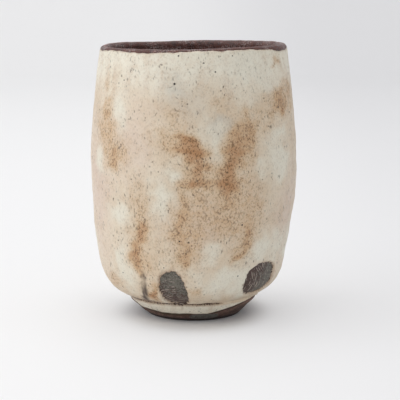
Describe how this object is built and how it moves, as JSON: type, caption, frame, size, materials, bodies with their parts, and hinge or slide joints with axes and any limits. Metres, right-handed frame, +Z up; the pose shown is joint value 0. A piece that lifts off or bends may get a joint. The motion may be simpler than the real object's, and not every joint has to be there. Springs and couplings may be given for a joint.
{
  "type": "yunomi tea cup",
  "caption": "Tall handleless tea cup of thrown dark stoneware on a small turned foot, cream coat outside, dark iron coat on the lip and inside, bare fingertip marks round the foot.",
  "frame": {"origin": "centre of the foot ring's resting face, on the cup's axis at table level", "axes": "+Z up along the cup's axis, the pictured front faces -Y, +X to the right of the picture"},
  "size_m": [0.0734, 0.0734, 0.096],
  "materials": {
    "raw_stoneware": "matt unglazed",
    "cream_coat": "satin",
    "iron_coat": "satin",
    "grey_film": "satin"
  },
  "bodies": {
    "root": {"clay_body": "raw_stoneware", "cream_glaze": "cream_coat", "iron_glaze": "iron_coat", "finger_films": "grey_film", "foot_smear": "grey_film"}
  },
  "joints": []
}
